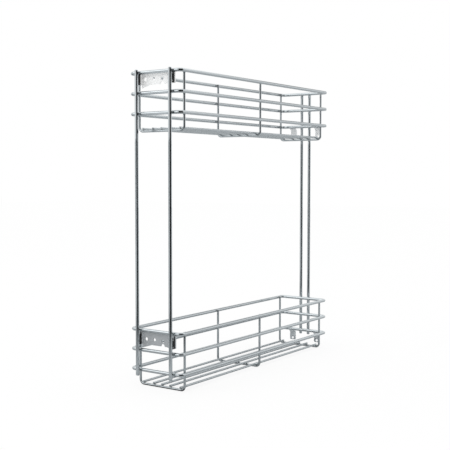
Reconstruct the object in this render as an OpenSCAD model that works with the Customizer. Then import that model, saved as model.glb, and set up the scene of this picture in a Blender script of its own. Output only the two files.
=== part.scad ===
// Two-tier chrome wire basket for a narrow base cabinet.
//
// Two equal wire baskets, one above the other, hang between four upright rods.
// Each basket is welded up from three closed loop wires that run round the outside,
// three U-shaped cross wires inside them and five base wires on the U bottoms.
// A folded bracket with a row of holes joins the two front rods below each rim, and
// two joggled tabs, each with one hole, hang from the lowest loop wire at the back.
//
// Frame: X across the width, -Y to the front, +Z up. The origin is the middle of the
// underside, where the cross wires of the lower basket rest.

/* [Basket] */
// Width over the outside of the loop wires
basket_w = 110; // [104:1:300]
// Depth over the outside of the loop wires
basket_l = 490; // [380:1:560]
// Height from the underside to the tops of the front rods
basket_h = 526.5; // [360:0.5:700]
// Height from the underside of a basket to the middle of its lowest loop wire
lowest_loop_z = 30; // [28:0.5:60]
// Height from one loop wire to the next
loop_gap = 33.5; // [28:0.5:60]

/* [Loop wires] */
// Diameter of the loop wires
loop_d = 6; // [4:0.1:8]
// Bend radius of the loop corners, at the middle of the wire
loop_bend = 7; // [6:0.5:12]

/* [Cross wires] */
// Diameter of the U-shaped cross wires
cross_d = 4; // [3:0.1:6]
// Bend radius of the U corners, at the middle of the wire
cross_bend = 7.5; // [5:0.5:14]
// Distance of the front and rear U behind the front and rear of the loop wires
cross_inset = 16; // [14:0.5:60]
// Height of the U ends above the middle of the rim wire
cross_rise = 2; // [1:0.1:3]

/* [Base wires] */
// Diameter of the straight base wires
base_d = 4; // [3:0.1:6]
// Distance of the outer base wires from the start of the U corners
base_margin = 0.5; // [0:0.5:6]
// Distance of the inner pair of base wires from the middle one
base_inner_x = 17.5; // [8:0.5:24]
// Overhang of the base wires past the middle of the front and rear U
base_overhang = 2; // [1:0.1:8]

/* [Upright rods] */
// Diameter of the four upright rods
rod_d = 6; // [5:0.1:8]
// Distance of the front rods from the sides of the loop wires
front_rod_inset = 17; // [15:0.5:20]
// Distance of the rear rods from the middle
rear_rod_x = 9; // [6:0.5:14]
// Height of the front rods above the middle of the upper rim wire
front_rod_rise = 4.5; // [3:0.5:12]
// Height of the rear rods above the middle of the upper rim wire
rear_rod_rise = 2; // [1:0.5:12]
// Drop of the front rods below the lowest loop wire of the lower basket
front_rod_drop = 9.5; // [4:0.5:20]
// Drop of the rear rods below the lowest loop wire of the lower basket
rear_rod_drop = 9; // [4:0.5:20]
// Chamfer on the ends of the rods
rod_chamfer = 1; // [0.2:0.1:1.5]

/* [Front brackets] */
// Thickness of the folded sheet
sheet = 2; // [1:0.1:3]
// Inside radius of the two folds
fold_bend = 1; // [0.5:0.1:2]
// Gap between the loop wires and the web of the bracket behind them
web_gap = 3.5; // [1:0.1:6]
// Height of the bracket above its row of holes
bracket_top = 11.5; // [9:0.5:14]
// Height of the bracket below its row of holes
bracket_bottom = 9; // [7:0.5:12]
// Extra height of the two lower ears, at the outer ends of the web
ear_drop = 5; // [0.5:0.5:8]
// Distance of the cut end of the right ear from the middle
right_ear_x = 27.5; // [24:0.5:29]
// Height from the middle of the upper rim wire to the top of its bracket
rim_sink = 1; // [0:0.1:2.5]
// Gap between the lower rim wire and the bracket under it
rim_gap = 1.6; // [0.2:0.1:3]
// Diameter of the fixing holes
hole_d = 6; // [3:0.1:7]
// Number of fixing holes in the row
hole_count = 4; // [2:2:4]
// Distance between neighbouring holes of the row
hole_gap = 17.5; // [13:0.5:18]
// Radius of the round notch in the lower edge
notch_r = 4.2; // [2:0.1:5]

/* [Rear tabs] */
// Width of a tab
tab_w = 13; // [8:0.5:16]
// Thickness of a tab
tab_sheet = 2; // [1:0.1:3]
// Distance of the tabs from the sides of the loop wires
tab_inset = 23; // [16:0.5:28]
// Height of a tab above the middle of the wire that carries it
tab_rise = 2; // [1:0.1:3]
// Height of the flat part behind that wire, below its middle
tab_seat = 4; // [2:0.5:6]
// Step of the joggle to the rear
tab_step = 4; // [2:0.1:5]
// Drop of the tab's hole below the middle of the wire that carries it
tab_hole_drop = 20; // [16:0.5:22]
// Diameter of the tab's hole
tab_hole_d = 5; // [3:0.1:6]
// Height of the tab's end below the middle of its hole
tab_end = 4; // [4:0.1:6]
// Radius of the tab's lower corners
tab_corner = 2; // [0.5:0.1:4]

/* [Fits] */
// Depth that two wires are set into each other where they are welded
weld_set = 0.04; // [0.02:0.01:0.06]
// Clearance of the bracket's saddles round the rim wire
saddle_clearance = 0.3; // [0.1:0.05:0.6]
// Chamfer on the cut ends of cross wires and base wires
wire_chamfer = 0.4; // [0.2:0.1:0.8]

/* [Hidden] */
$fn = 48;
CHROME = [0.80, 0.82, 0.84];

// Middle lines of the wires in plan
loop_x = (basket_w - loop_d) / 2;
loop_y = (basket_l - loop_d) / 2;
loop_back = loop_y + loop_d / 2;
cross_x = loop_x - (loop_d + cross_d) / 2 + weld_set;
cross_y = loop_y - cross_inset;
front_rod_x = loop_x - front_rod_inset;
rod_y = loop_back + rod_d / 2 - weld_set;
tab_x = loop_x - tab_inset;
base_outer_x = cross_x - cross_bend - base_margin;
base_xs = [-base_outer_x, -base_inner_x, 0, base_inner_x, base_outer_x];

// Heights of the middle lines of the wires above the underside of their basket
cross_z = cross_d / 2;
base_z = cross_z + (cross_d + base_d) / 2 - weld_set;
middle_loop_z = lowest_loop_z + loop_gap;
rim_z = middle_loop_z + loop_gap;

// Height of the upper basket's underside above the lower one's
tier_gap = basket_h - front_rod_rise - rim_z;

// Drop of each bracket's row of holes below the rim wire of its basket
upper_hole_drop = bracket_top - rim_sink;
lower_hole_drop = bracket_top + loop_d / 2 + rim_gap;

// A round bar along Z from 0 to length, with chamfered ends
module bar(length, d, chamfer) {
    rotate_extrude()
        polygon([
            [0, 0],
            [d / 2 - chamfer, 0],
            [d / 2, chamfer],
            [d / 2, length - chamfer],
            [d / 2 - chamfer, length],
            [0, length]
        ]);
}

// A quarter turn of wire about Z, from +X round to +Y
module quarter_bend(radius, d) {
    rotate_extrude(angle = 90)
        translate([radius, 0])
            circle(d = d);
}

// A closed loop wire: four straights joined by four corner bends
module loop_wire(z) {
    side_l = 2 * (loop_y - loop_bend);
    end_l = 2 * (loop_x - loop_bend);
    color(CHROME)
        translate([0, 0, z])
            for (turn = [0, 180])
                rotate([0, 0, turn]) {
                    translate([loop_x, side_l / 2, 0])
                        rotate([90, 0, 0])
                            cylinder(h = side_l, d = loop_d);
                    translate([-end_l / 2, loop_y, 0])
                        rotate([0, 90, 0])
                            cylinder(h = end_l, d = loop_d);
                    translate([end_l / 2, side_l / 2, 0])
                        quarter_bend(loop_bend, loop_d);
                    translate([-end_l / 2, side_l / 2, 0])
                        rotate([0, 0, 90])
                            quarter_bend(loop_bend, loop_d);
                }
}

// A U-shaped cross wire: flat bottom, two bends and two legs inside the loop wires
module cross_wire(y, tier_z) {
    bottom_l = 2 * (cross_x - cross_bend);
    bend_z = cross_z + cross_bend;
    leg_l = rim_z + cross_rise - bend_z;
    color(CHROME)
        translate([0, y, tier_z]) {
            translate([-bottom_l / 2, 0, cross_z])
                rotate([0, 90, 0])
                    cylinder(h = bottom_l, d = cross_d);
            for (side = [0, 1])
                mirror([side, 0, 0]) {
                    translate([bottom_l / 2, 0, bend_z])
                        rotate([90, 0, 0])
                            rotate([0, 0, -90])
                                quarter_bend(cross_bend, cross_d);
                    translate([cross_x, 0, bend_z]) {
                        cylinder(h = leg_l - wire_chamfer, d = cross_d);
                        translate([0, 0, leg_l - wire_chamfer])
                            cylinder(h = wire_chamfer, d1 = cross_d, d2 = cross_d - 2 * wire_chamfer);
                    }
                }
        }
}

// A straight base wire from front to rear, lying on the U bottoms
module base_wire(x, tier_z) {
    length = 2 * (cross_y + base_overhang);
    color(CHROME)
        translate([x, length / 2, tier_z + base_z])
            rotate([90, 0, 0])
                bar(length, base_d, wire_chamfer);
}

// An upright rod through both baskets
module rod(x, y, rise, drop) {
    bottom_z = lowest_loop_z - drop;
    color(CHROME)
        translate([x, y, bottom_z])
            bar(tier_gap + rim_z + rise - bottom_z, rod_d, rod_chamfer);
}

// The folded bracket, drawn with z = 0 at its row of holes: a web behind the loop
// wires and a flange forward to the back of each front rod. Both baskets have the
// same part, hung at its own height. A saddle in each flange clears the rim wire.
module front_bracket(z) {
    half_w = front_rod_x + sheet;
    web_y = -loop_back + loop_d + web_gap;
    flange_y = -rod_y + rod_d / 2 - weld_set;
    color(CHROME)
        translate([0, 0, z])
            difference() {
                union() {
                    translate([0, 0, -bracket_bottom])
                        linear_extrude(bracket_top + bracket_bottom)
                            difference() {
                                folded_area(half_w, flange_y, web_y + sheet, fold_bend + sheet);
                                folded_area(half_w - sheet, flange_y - sheet, web_y, fold_bend);
                            }
                    translate([0, web_y + sheet, 0])
                        rotate([90, 0, 0])
                            linear_extrude(sheet)
                                ears(half_w - sheet - fold_bend);
                }
                translate([0, web_y + 2 * sheet, 0])
                    rotate([90, 0, 0])
                        linear_extrude(3 * sheet)
                            punched_openings();
                saddle(half_w);
            }
}

// A plan area that reaches from front_y to rear_y and has its two rear corners rounded
module folded_area(half_w, front_y, rear_y, corner_r) {
    translate([-half_w, front_y])
        square([2 * half_w, rear_y - corner_r - front_y]);
    translate([-half_w + corner_r, front_y])
        square([2 * (half_w - corner_r), rear_y - front_y]);
    for (side = [-1, 1])
        translate([side * (half_w - corner_r), rear_y - corner_r])
            circle(r = corner_r);
}

// The two ears that slope down towards the outer ends of the web, seen from the front.
// The right one is cut off before the fold.
module ears(web_end) {
    difference() {
        for (side = [0, 1])
            mirror([side, 0])
                polygon([
                    [hole_gap, -bracket_bottom],
                    [web_end, -bracket_bottom - ear_drop],
                    [web_end, -bracket_bottom + ear_drop]
                ]);
        translate([right_ear_x, -bracket_bottom - 2 * ear_drop])
            square([web_end, 2 * ear_drop]);
    }
}

// The row of fixing holes and the notch in the lower edge, seen from the front
module punched_openings() {
    for (n = [0 : hole_count - 1])
        translate([(n - (hole_count - 1) / 2) * hole_gap, 0])
            circle(d = hole_d);
    translate([hole_gap / 2, -bracket_bottom])
        circle(r = notch_r);
}

// The open-topped, round-bottomed cut through both flanges where the rim wire passes
module saddle(half_w) {
    saddle_d = loop_d + 2 * saddle_clearance;
    length = 2 * (half_w + sheet);
    translate([-length / 2, -loop_y, upper_hole_drop]) {
        rotate([0, 90, 0])
            cylinder(h = length, d = saddle_d);
        translate([0, -saddle_d / 2, 0])
            cube([length, saddle_d, bracket_top]);
    }
}

// A rear tab, drawn with z = 0 at the wire that carries it: a strip down the back of
// that wire, stepped to the rear at 45 degrees, with a hole near its rounded end
module rear_tab(side, z) {
    seat_y = loop_back - weld_set;
    low_y = seat_y + tab_step;
    end_z = -tab_hole_drop - tab_end;
    // a 45 degree bend shifts the corners of the back face by this much
    miter = tab_sheet * tan(22.5);
    color(CHROME)
        translate([side * tab_x, 0, z])
            difference() {
                intersection() {
                    translate([-tab_w / 2, 0, 0])
                        rotate([90, 0, 90])
                            linear_extrude(tab_w)
                                polygon([
                                    [seat_y, tab_rise],
                                    [seat_y, -tab_seat],
                                    [low_y, -tab_seat - tab_step],
                                    [low_y, end_z],
                                    [low_y + tab_sheet, end_z],
                                    [low_y + tab_sheet, -tab_seat - tab_step + miter],
                                    [seat_y + tab_sheet, -tab_seat + miter],
                                    [seat_y + tab_sheet, tab_rise]
                                ]);
                    translate([0, low_y + 2 * tab_sheet, 0])
                        rotate([90, 0, 0])
                            linear_extrude(tab_step + 3 * tab_sheet)
                                tab_outline(end_z);
                }
                translate([0, seat_y, -tab_hole_drop])
                    rotate([-90, 0, 0])
                        cylinder(h = tab_step + 2 * tab_sheet, d = tab_hole_d);
            }
}

// The tab seen from the front, reaching past its top, with two rounded lower corners
module tab_outline(end_z) {
    height = 2 * tab_rise - end_z;
    translate([-tab_w / 2, end_z + tab_corner])
        square([tab_w, height]);
    translate([-tab_w / 2 + tab_corner, end_z])
        square([tab_w - 2 * tab_corner, height]);
    for (side = [-1, 1])
        translate([side * (tab_w / 2 - tab_corner), end_z + tab_corner])
            circle(r = tab_corner);
}

// Upper basket
module upper_rim_wire() { loop_wire(tier_gap + rim_z); }
module upper_middle_loop_wire() { loop_wire(tier_gap + middle_loop_z); }
module upper_lowest_loop_wire() { loop_wire(tier_gap + lowest_loop_z); }
module upper_front_cross_wire() { cross_wire(-cross_y, tier_gap); }
module upper_middle_cross_wire() { cross_wire(0, tier_gap); }
module upper_rear_cross_wire() { cross_wire(cross_y, tier_gap); }
module upper_front_bracket() { front_bracket(tier_gap + rim_z - upper_hole_drop); }
module upper_left_rear_tab() { rear_tab(-1, tier_gap + lowest_loop_z); }
module upper_right_rear_tab() { rear_tab(1, tier_gap + lowest_loop_z); }

// Lower basket
module lower_rim_wire() { loop_wire(rim_z); }
module lower_middle_loop_wire() { loop_wire(middle_loop_z); }
module lower_lowest_loop_wire() { loop_wire(lowest_loop_z); }
module lower_front_cross_wire() { cross_wire(-cross_y, 0); }
module lower_middle_cross_wire() { cross_wire(0, 0); }
module lower_rear_cross_wire() { cross_wire(cross_y, 0); }
module lower_front_bracket() { front_bracket(rim_z - lower_hole_drop); }
module lower_left_rear_tab() { rear_tab(-1, lowest_loop_z); }
module lower_right_rear_tab() { rear_tab(1, lowest_loop_z); }

// Upright rods
module left_front_rod() { rod(-front_rod_x, -rod_y, front_rod_rise, front_rod_drop); }
module right_front_rod() { rod(front_rod_x, -rod_y, front_rod_rise, front_rod_drop); }
module left_rear_rod() { rod(-rear_rod_x, rod_y, rear_rod_rise, rear_rod_drop); }
module right_rear_rod() { rod(rear_rod_x, rod_y, rear_rod_rise, rear_rod_drop); }

upper_rim_wire();
upper_middle_loop_wire();
upper_lowest_loop_wire();
upper_front_cross_wire();
upper_middle_cross_wire();
upper_rear_cross_wire();
upper_front_bracket();
upper_left_rear_tab();
upper_right_rear_tab();
lower_rim_wire();
lower_middle_loop_wire();
lower_lowest_loop_wire();
lower_front_cross_wire();
lower_middle_cross_wire();
lower_rear_cross_wire();
lower_front_bracket();
lower_left_rear_tab();
lower_right_rear_tab();
left_front_rod();
right_front_rod();
left_rear_rod();
right_rear_rod();
for (n = [1 : 5]) {
    base_wire(base_xs[n - 1], tier_gap);
    base_wire(base_xs[n - 1], 0);
}
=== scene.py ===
"""Two-tier chrome wire basket for the pull-out of a narrow base cabinet.

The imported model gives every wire, rod, bracket and tab its shape and place. This script
plates them, adds the welds that hold them together, and sets up the studio.
"""

import math

import bmesh
import bpy
from mathutils import Euler, Matrix, Vector


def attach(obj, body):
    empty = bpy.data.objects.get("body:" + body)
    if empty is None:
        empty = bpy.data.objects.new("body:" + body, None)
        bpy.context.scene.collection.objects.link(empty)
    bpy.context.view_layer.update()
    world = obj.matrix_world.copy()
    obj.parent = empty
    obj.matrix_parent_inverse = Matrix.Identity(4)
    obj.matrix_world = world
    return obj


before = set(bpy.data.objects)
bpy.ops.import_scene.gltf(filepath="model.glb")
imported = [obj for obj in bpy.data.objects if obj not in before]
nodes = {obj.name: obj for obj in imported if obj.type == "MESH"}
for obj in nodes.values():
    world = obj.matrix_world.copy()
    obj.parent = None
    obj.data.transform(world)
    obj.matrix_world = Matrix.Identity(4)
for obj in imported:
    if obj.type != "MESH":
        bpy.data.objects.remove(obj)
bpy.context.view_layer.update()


# ---------------------------------------------------------------- Camera
# The photograph's view: level with the gap between the trays, from the front right,
# about 1.6 m away with a short telephoto lens.

camera_place = Vector((0.9163, -1.3535, 0.3540))
camera_yaw = math.radians(34.987)
camera_pitch = math.radians(3.229)
camera_roll = math.radians(0.054)

camera_data = bpy.data.cameras.new("photo_camera")
camera_data.sensor_width = 36.0
camera_data.lens = 70.32
camera = bpy.data.objects.new("photo_camera", camera_data)
camera.matrix_world = (
    Matrix.Translation(camera_place)
    @ Euler((math.pi / 2 - camera_pitch, 0.0, camera_yaw)).to_matrix().to_4x4()
    @ Matrix.Rotation(camera_roll, 4, "Z")
)
bpy.context.scene.collection.objects.link(camera)
bpy.context.scene.camera = camera
bpy.context.scene.view_settings.view_transform = "Standard"


# ---------------------------------------------------------------- Floor, room and lamp
# A white paper floor in an even white room, with one large soft lamp high on the left.
# The eye and the chrome see the floor almost bleached out, with a faint shadow left on it.


def linear(hex_colour):
    """An sRGB hex colour as the linear RGBA that a shader socket takes."""
    parts = [int(hex_colour[i:i + 2], 16) / 255 for i in (1, 3, 5)]
    rgb = [p / 12.92 if p <= 0.04045 else ((p + 0.055) / 1.055) ** 2.4 for p in parts]
    return (*rgb, 1.0)


def new_material(name):
    """An empty node material and its output node."""
    material = bpy.data.materials.new(name)
    material.use_nodes = True
    material.node_tree.nodes.clear()
    return material, material.node_tree.nodes.new("ShaderNodeOutputMaterial")


def add_node(tree, kind, settings=None, **links):
    """Adds a node. A link names an input, or gives its place as _0, _1 and so on, and holds
    a socket to read from or a value."""
    node = tree.nodes.new("ShaderNode" + kind)
    for key, value in (settings or {}).items():
        setattr(node, key, value)
    for key, value in links.items():
        by_place = key[1:].isdigit()
        socket = node.inputs[int(key[1:]) if by_place else key.replace("_", " ")]
        if isinstance(value, bpy.types.NodeSocket):
            tree.links.new(value, socket)
        else:
            socket.default_value = value
    return node


def mesh_object(name, shape, material, smooth=False):
    """Turns a finished bmesh into an object at the origin."""
    mesh = bpy.data.meshes.new(name)
    shape.to_mesh(mesh)
    shape.free()
    if smooth:
        mesh.shade_smooth()
    mesh.materials.append(material)
    obj = bpy.data.objects.new(name, mesh)
    bpy.context.scene.collection.objects.link(obj)
    return obj


def shown_to_eye_and_mirror(tree):
    """1 for a ray that the camera, a mirror or glass sends out, 0 for one carrying light."""
    path = add_node(tree, "LightPath")
    either = add_node(
        tree, "Math", {"operation": "MAXIMUM"},
        _0=path.outputs["Is Camera Ray"], _1=path.outputs["Is Glossy Ray"],
    )
    return add_node(
        tree, "Math", {"operation": "MAXIMUM"},
        _0=either.outputs[0], _1=path.outputs["Is Transmission Ray"],
    ).outputs[0]


# the floor: matt white paper, which the eye sees as a plain white ground
room_half = 8.0
bleached_share = 0.85
floor_white, floor_output = new_material("white floor paper")
floor_tree = floor_white.node_tree
bleached = add_node(
    floor_tree, "Math", {"operation": "MULTIPLY"},
    _0=shown_to_eye_and_mirror(floor_tree), _1=bleached_share,
)
floor_mix = add_node(
    floor_tree, "MixShader",
    _0=bleached.outputs[0],
    _1=add_node(floor_tree, "BsdfDiffuse", Color=linear("#F3F3F3")).outputs[0],
    _2=add_node(floor_tree, "Emission", Color=linear("#FFFFFF"), Strength=1.0).outputs[0],
)
floor_tree.links.new(floor_mix.outputs[0], floor_output.inputs["Surface"])

floor_shape = bmesh.new()
bmesh.ops.create_grid(floor_shape, x_segments=1, y_segments=1, size=room_half)
floor = mesh_object("floor", floor_shape, floor_white)

# the room: exactly white to look at, and a touch brighter as light
seen_strength, light_strength = 1.0, 1.08
world = bpy.data.worlds.new("white room")
bpy.context.scene.world = world
world.use_nodes = True
room_tree = world.node_tree
room_light = add_node(
    room_tree, "MapRange", Value=shown_to_eye_and_mirror(room_tree),
    To_Min=light_strength, To_Max=seen_strength,
)
background = room_tree.nodes["Background"]
background.inputs["Color"].default_value = linear("#FFFFFF")
room_tree.links.new(room_light.outputs[0], background.inputs["Strength"])

# the lamp
lamp_place = Vector((-1.35, -2.30, 1.95))
lamp_aim = Vector((0.0, -0.2, 0.5))
lamp_data = bpy.data.lights.new("soft_lamp", "AREA")
lamp_data.shape = "RECTANGLE"
lamp_data.size = 2.0
lamp_data.size_y = 1.3
lamp_data.energy = 9.0
lamp = bpy.data.objects.new("soft_lamp", lamp_data)
lamp.location = lamp_place
lamp.rotation_euler = (lamp_aim - lamp_place).to_track_quat("-Z", "Y").to_euler()
bpy.context.scene.collection.objects.link(lamp)


# ---------------------------------------------------------------- Reflection cards
# Chrome shows only what stands round it. These cards of matt paper are seen by mirrors
# alone: they give the wires their dark line and their grey undersides, and light nothing.


def fading_tone(tree, stops):
    """A tone that changes with the distance from the object: (metres, hex colour) pairs."""
    nearest, farthest = stops[0][0], stops[-1][0]
    away = add_node(
        tree, "VectorMath", {"operation": "LENGTH"},
        _0=add_node(tree, "TexCoord").outputs["Object"],
    )
    part_way = add_node(
        tree, "MapRange", Value=away.outputs["Value"], From_Min=nearest, From_Max=farthest
    )
    tone = add_node(tree, "ValToRGB", Fac=part_way.outputs[0])
    ramp = tone.color_ramp.elements
    ramp[0].color = linear(stops[0][1])
    ramp[1].color = linear(stops[-1][1])
    for distance, hex_colour in stops[1:-1]:
        ramp.new((distance - nearest) / (farthest - nearest)).color = linear(hex_colour)
    return tone.outputs[0]


def matt_paper(name, tone):
    """Paper with no gloss at all. tone is one hex colour, or the stops of a fading tone."""
    material, output = new_material(name)
    tree = material.node_tree
    colour = fading_tone(tree, tone) if isinstance(tone, list) else linear(tone)
    shader = add_node(tree, "BsdfDiffuse", Color=colour, Roughness=0.5)
    tree.links.new(shader.outputs[0], output.inputs["Surface"])
    return material


def reflection_card(name, shape, material):
    """A card that only mirrors see: it lights nothing and shades nothing."""
    card = mesh_object(name, shape, material)
    card.visible_camera = False
    card.visible_diffuse = False
    card.visible_shadow = False


# A round card is cut in steps, and those on the floor lie a hair above each other.
card_steps = 36
floor_card_z = 0.0001
sweep_z = 0.00015
board_z = 0.000175
top_card_z = 0.0002


def swept_card(outline, start, end):
    """(radius, height) points swept round the object between two compass angles in degrees."""
    shape = bmesh.new()
    start, end = math.radians(start), math.radians(end)
    feet = [
        shape.verts.new((radius * math.cos(start), radius * math.sin(start), height))
        for radius, height in outline
    ]
    strip = [shape.edges.new(pair) for pair in zip(feet, feet[1:])]
    bmesh.ops.spin(
        shape, geom=feet + strip, cent=(0, 0, 0), axis=(0, 0, 1),
        angle=end - start, steps=card_steps,
    )
    return shape


# the grey floor of the studio: it turns the undersides of the wires grey
grey_floor = bmesh.new()
bmesh.ops.create_circle(grey_floor, cap_ends=True, radius=room_half, segments=card_steps)
bmesh.ops.translate(grey_floor, verts=grey_floor.verts, vec=(0, 0, floor_card_z))
reflection_card("grey_studio_floor", grey_floor, matt_paper("grey studio floor", "#C8CACB"))

# the white paper sweep in front: it brightens what faces down towards the lamp
paper_near, paper_far = 0.36, 1.1
paper_start, paper_end = -200.0, -80.0
reflection_card(
    "white_paper_sweep",
    swept_card(
        [(paper_near, sweep_z), (paper_far, sweep_z)], start=paper_start, end=paper_end
    ),
    matt_paper("white paper sweep", "#EAECED"),
)

# two grey boards on the sweep: they darken the feet of the rods, and the gap between them
# keeps the undersides of the upper front wires bright
board_far = 1.2
board_tones = [
    (paper_near, "#D4D6D7"), (0.46, "#AEB0B1"), (0.58, "#8A8C8D"), (0.80, "#8A8C8D"),
    (0.95, "#9A9C9D"), (board_far, "#C8CACB"),
]
for board, start, end in (("near", -123.0, paper_end), ("far", paper_start, -144.0)):
    reflection_card(
        f"{board}_board",
        swept_card([(paper_near, board_z), (board_far, board_z)], start, end),
        matt_paper(f"{board} board", board_tones),
    )

# the low wall of the room, on both sides of the camera: level reflections are a shade
# under white
wall_radius, wall_height = 3.6, 0.55
reflection_card(
    "grey_studio_wall",
    swept_card([(wall_radius, 0.0), (wall_radius, wall_height)], start=-235.0, end=48.0),
    matt_paper("grey studio wall", "#CDCFD0"),
)

# the dark end of the studio, behind and to the right of the camera: the floor falls off
# into it and a black curtain hangs behind, which gives wires and rods their dark line
fall_off_near, curtain_radius, curtain_height = 0.45, 1.0, 1.6
dark_outline = [
    (fall_off_near, top_card_z), (curtain_radius, top_card_z), (curtain_radius, curtain_height)
]
reflection_card(
    "dark_studio_end",
    swept_card(dark_outline, start=-78.0, end=2.0),
    matt_paper("dark studio end", [(0.40, "#C8CACB"), (0.76, "#1E1F20")]),
)

# the ceiling over the rear of the room glows with painted light, bright towards the lamp and
# grey at the back, so that the upper side of a wire is bright and turns grey at its edge
ceiling_half, ceiling_y, ceiling_z = 1.15, 1.65, 1.7
lit_y, grey_y = 1.40, 1.90
lit_strength, grey_strength = 1.35, 0.52
ceiling_paper, ceiling_output = new_material("grey ceiling")
ceiling_tree = ceiling_paper.node_tree
overhead = add_node(
    ceiling_tree, "SeparateXYZ", Vector=add_node(ceiling_tree, "TexCoord").outputs["Object"]
)
to_rear = add_node(
    ceiling_tree, "MapRange", Value=overhead.outputs["Y"],
    From_Min=lit_y, From_Max=grey_y, To_Min=lit_strength, To_Max=grey_strength,
)
glow = add_node(ceiling_tree, "Emission", Color=linear("#FFFFFF"), Strength=to_rear.outputs[0])
ceiling_tree.links.new(glow.outputs[0], ceiling_output.inputs["Surface"])

ceiling = bmesh.new()
bmesh.ops.create_grid(ceiling, x_segments=1, y_segments=1, size=ceiling_half)
bmesh.ops.translate(ceiling, verts=ceiling.verts, vec=(0, ceiling_y, ceiling_z))
reflection_card("grey_ceiling", ceiling, ceiling_paper)

# the deep shade between the front cross wire and the floor it rests on: a dark lower edge
front_cross_y = -0.226
shade_width, shade_depth = 0.100, 0.016
shade = bmesh.new()
bmesh.ops.create_grid(shade, x_segments=1, y_segments=1, size=0.5)
bmesh.ops.scale(shade, verts=shade.verts, vec=(shade_width, shade_depth, 1))
bmesh.ops.translate(shade, verts=shade.verts, vec=(0, front_cross_y, top_card_z))
reflection_card(
    "shade_under_front_wire", shade, matt_paper("shade under front wire", "#3A3B3C")
)


# ---------------------------------------------------------------- Wires and rods
# Drawn mild steel wire, straightened, bent and nickel-chrome plated after welding.
# The plate is a mirror, but the drawn steel under it leaves it very slightly uneven.

wave_height = 0.00002  # metres
clearest, haziest = 0.8, 1.3  # times the roughness


def plated_steel(name, hex_colour, roughness, unevenness_mm, stretch=(1, 1, 1), metallic=1.0):
    """Chrome over steel. unevenness_mm is the spacing of the low waves that stay in the
    steel under the plate, and stretch draws them out along X, Y or Z."""
    material, output = new_material(name)
    tree = material.node_tree
    place = add_node(tree, "TexCoord").outputs["Object"]
    along = add_node(tree, "Mapping", Vector=place, Scale=stretch).outputs[0]
    drawn = add_node(tree, "TexNoise", Vector=along, Scale=1000.0 / unevenness_mm, Detail=2.0)
    bump = add_node(
        tree, "Bump", Height=drawn.outputs["Fac"], Strength=0.04, Distance=wave_height
    )
    haze = add_node(
        tree, "MapRange", Value=drawn.outputs["Fac"], From_Min=0.3, From_Max=0.7,
        To_Min=roughness * clearest, To_Max=roughness * haziest,
    )
    shader = add_node(
        tree, "BsdfPrincipled", Base_Color=linear(hex_colour), Metallic=metallic,
        Roughness=haze.outputs[0], Normal=bump.outputs[0],
    )
    tree.links.new(shader.outputs[0], output.inputs["Surface"])
    return material


def plate(node_names, material):
    """Gives CAD nodes their finish."""
    for name in node_names:
        nodes[name].data.materials.clear()
        nodes[name].data.materials.append(material)


tiers = ("upper", "lower")

# The thick loop wires are a bright mirror, very slightly soft.
loop_chrome = plated_steel(
    "chrome plated loop wire", "#C3C9CC", roughness=0.10, unevenness_mm=3.0
)
loops = ("rim_wire", "middle_loop_wire", "lowest_loop_wire")
plate([f"{tier}_{loop}" for tier in tiers for loop in loops], loop_chrome)

# The thin cross wires, inside the loops, are coloured a little darker than the loop wires.
cross_chrome = plated_steel(
    "chrome plated cross wire", "#B4BABD", roughness=0.08, unevenness_mm=2.5
)
crossings = ("front", "middle", "rear")
plate([f"{tier}_{place}_cross_wire" for tier in tiers for place in crossings], cross_chrome)

# The straight base wires are satin rather than bright, with draw marks along them.
base_chrome = plated_steel(
    "chrome plated base wire", "#C1C7CA", roughness=0.26, unevenness_mm=2.5, stretch=(1, 0.1, 1)
)
plate([f"{tier}_base_wire_{n}" for tier in tiers for n in range(1, 6)], base_chrome)

# The straight rods are the clearest mirror, with draw marks along them.
rod_chrome = plated_steel(
    "chrome plated rod", "#C3C9CC", roughness=0.03, unevenness_mm=3.0, stretch=(1, 1, 0.1)
)
plate(["left_front_rod", "right_front_rod", "left_rear_rod", "right_rear_rod"], rod_chrome)


# ---------------------------------------------------------------- Rear tabs
# Joggled strips punched from 2 mm cold rolled sheet, welded on and plated with the basket.
# Rolled sheet isn't a perfect mirror, so what the tabs reflect is soft.

sides = ("left", "right")

# The lower tabs show the tones of the studio, blurred.
sheet_chrome = plated_steel("chrome plated sheet", "#DDE1E3", roughness=0.30, unevenness_mm=8.0)
plate([f"lower_{side}_rear_tab" for side in sides], sheet_chrome)

# The upper tabs are satin: almost one pale, even tone.
tab_chrome = plated_steel(
    "satin chrome upper tab", "#E2E4E5", roughness=0.40, unevenness_mm=8.0, metallic=0.3
)
plate([f"upper_{side}_rear_tab" for side in sides], tab_chrome)


# ---------------------------------------------------------------- Front brackets
# Punched and folded from the same 2 mm sheet, welded to the backs of the front rods and
# plated satin. Painted shade makes the flanges black out from the rods, where the narrow
# pockets lie in shade, and painted light makes the folds the palest part of the sheet.

rod_back_y, web_y = -0.2450, -0.2360
left_lag = 0.01  # the black reaches 0.7 mm further on the left flange than on the right
black_until, pale_from, web_from = 0.76, 0.88, 0.99  # shares of the way from rod to web
left_fold_x, even_web_x = -0.034, -0.018


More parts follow.
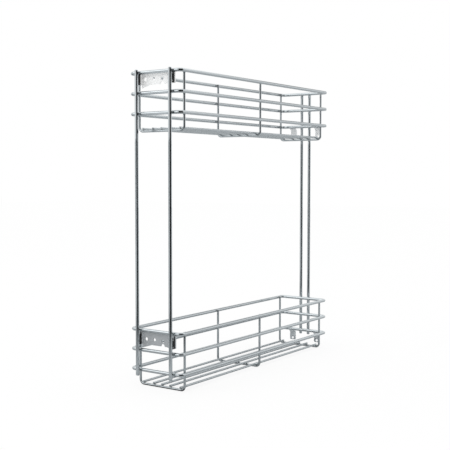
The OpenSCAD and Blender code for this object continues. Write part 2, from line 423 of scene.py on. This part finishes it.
def bracket_chrome(name, web_hex, fold_hex):
    """Satin chrome with painted shade, black on the flanges, and painted light, palest round
    the folds; even on the web.
    """
    material = plated_steel(name, web_hex, roughness=0.50, unevenness_mm=8.0, metallic=0.10)
    tree = material.node_tree
    place = add_node(tree, "SeparateXYZ", Vector=add_node(tree, "TexCoord").outputs["Object"])
    depth = add_node(
        tree, "Math", {"operation": "MULTIPLY_ADD"},
        _0=place.outputs["X"], _1=left_lag, _2=place.outputs["Y"],
    )
    off_rod = add_node(
        tree, "MapRange", Value=depth.outputs[0], From_Min=rod_back_y, From_Max=web_y
    )
    # painted shade: black on each flange next to its rod, turning pale at the folds and even on
    # the web
    painted_shade_ramp = add_node(tree, "ValToRGB", Fac=off_rod.outputs[0])
    ramp = painted_shade_ramp.color_ramp.elements
    ramp[0].color = linear("#050506")
    ramp[1].color = linear(web_hex)
    ramp.new(black_until).color = linear("#161718")
    ramp.new(pale_from).color = linear(fold_hex)
    on_web = add_node(
        tree, "Math", {"operation": "GREATER_THAN"}, _0=off_rod.outputs[0], _1=web_from
    )
    # painted light: the web turns lighter towards its left fold, against the shade that the
    # left flange and rod cast there
    near_left_fold = add_node(
        tree, "MapRange", Value=place.outputs["X"], From_Min=even_web_x, From_Max=left_fold_x
    )
    painted_light_share = add_node(
        tree, "Math", {"operation": "MULTIPLY"},
        _0=on_web.outputs[0], _1=near_left_fold.outputs[0],
    )
    finish = add_node(
        tree, "Mix", {"data_type": "RGBA"}, Factor=painted_light_share.outputs[0],
        _6=painted_shade_ramp.outputs[0], _7=linear(fold_hex),
    )
    shader = next(n for n in tree.nodes if n.type == "BSDF_PRINCIPLED")
    tree.links.new(finish.outputs[2], shader.inputs["Base Color"])
    return material


# Both brackets are the same sheet: the upper one is coloured nearly white, and the lower one
# mid grey, a painted shade for the grey floor it mirrors.
upper_bracket_chrome = bracket_chrome("satin chrome upper bracket with painted shade", "#F6F7F7", "#FFFFFF")
lower_bracket_chrome = bracket_chrome("satin chrome lower bracket in painted shade", "#A6AAAD", "#BEC2C5")
plate(["upper_front_bracket"], upper_bracket_chrome)
plate(["lower_front_bracket"], lower_bracket_chrome)


# ---------------------------------------------------------------- Welds
# Every crossing is resistance welded: the two wires are pressed together hot, and a
# small ring of metal squeezes out round the contact. It is plated over with the rest.

# The squeezed metal is rougher than the wire, so each weld is a small soft glint.
weld_chrome = plated_steel("chrome plated weld", "#BEC0C2", roughness=0.22, unevenness_mm=1.0)


def weld_beads(name, across, thick, facing, places):
    """Balls pressed flat, `across` wide and `thick` through, all facing the same way."""
    shape = bmesh.new()
    lie = Vector(facing).to_track_quat("Z", "Y").to_matrix().to_4x4()
    form = lie @ Matrix.Diagonal((across, across, thick, 1.0))
    for place in places:
        bmesh.ops.create_icosphere(
            shape, subdivisions=2, radius=0.5, matrix=Matrix.Translation(place) @ form
        )
    beads = mesh_object(name, shape, weld_chrome, smooth=True)
    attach(beads, "root")


tier_lifts = {"upper": 0.425, "lower": 0.0}
loop_heights = (0.030, 0.0635, 0.097)
cross_places = (front_cross_y, 0.0, 0.226)

# the legs of the cross wires on the loops, and the base wires on their bottoms
leg_x = 0.04902
base_places = (-0.03904, -0.0175, 0.0, 0.0175, 0.03904)
base_z = 0.00398

# the loops on the backs of the front rods and the fronts of the rear rods
rod_y = 0.24498
rod_places = ((-0.035, -rod_y), (0.035, -rod_y), (-0.009, rod_y), (0.009, rod_y))

# two spots on each bracket flange, above and below the middle of its row of holes
flange_x, flange_y = 0.036, -0.2440
hole_rows = {"upper": 0.5115, "lower": 0.0809}
flange_rises = (-0.0063, 0.0063)

# two spots on each rear tab, side by side on the lowest loop
tab_x = 0.029
tab_steps = (-0.003, 0.003)

for tier, lift in tier_lifts.items():
    weld_beads(
        f"{tier}_loop_welds", across=0.0056, thick=0.0024, facing=(1, 0, 0),
        places=[
            (x, y, lift + z)
            for x in (-leg_x, leg_x) for y in cross_places for z in loop_heights
        ],
    )
    weld_beads(
        f"{tier}_base_welds", across=0.0044, thick=0.0018, facing=(0, 0, 1),
        places=[(x, y, lift + base_z) for x in base_places for y in cross_places],
    )
    weld_beads(
        f"{tier}_rod_welds", across=0.0062, thick=0.0026, facing=(0, 1, 0),
        places=[(x, y, lift + z) for x, y in rod_places for z in loop_heights],
    )
    weld_beads(
        f"{tier}_bracket_welds", across=0.0036, thick=0.0032, facing=(1, 0, 0),
        places=[
            (x, flange_y, hole_rows[tier] + rise)
            for x in (-flange_x, flange_x) for rise in flange_rises
        ],
    )
    weld_beads(
        f"{tier}_tab_welds", across=0.0040, thick=0.0022, facing=(0, 1, 0),
        places=[
            (x + step, rod_y, lift + loop_heights[0])
            for x in (-tab_x, tab_x) for step in tab_steps
        ],
    )
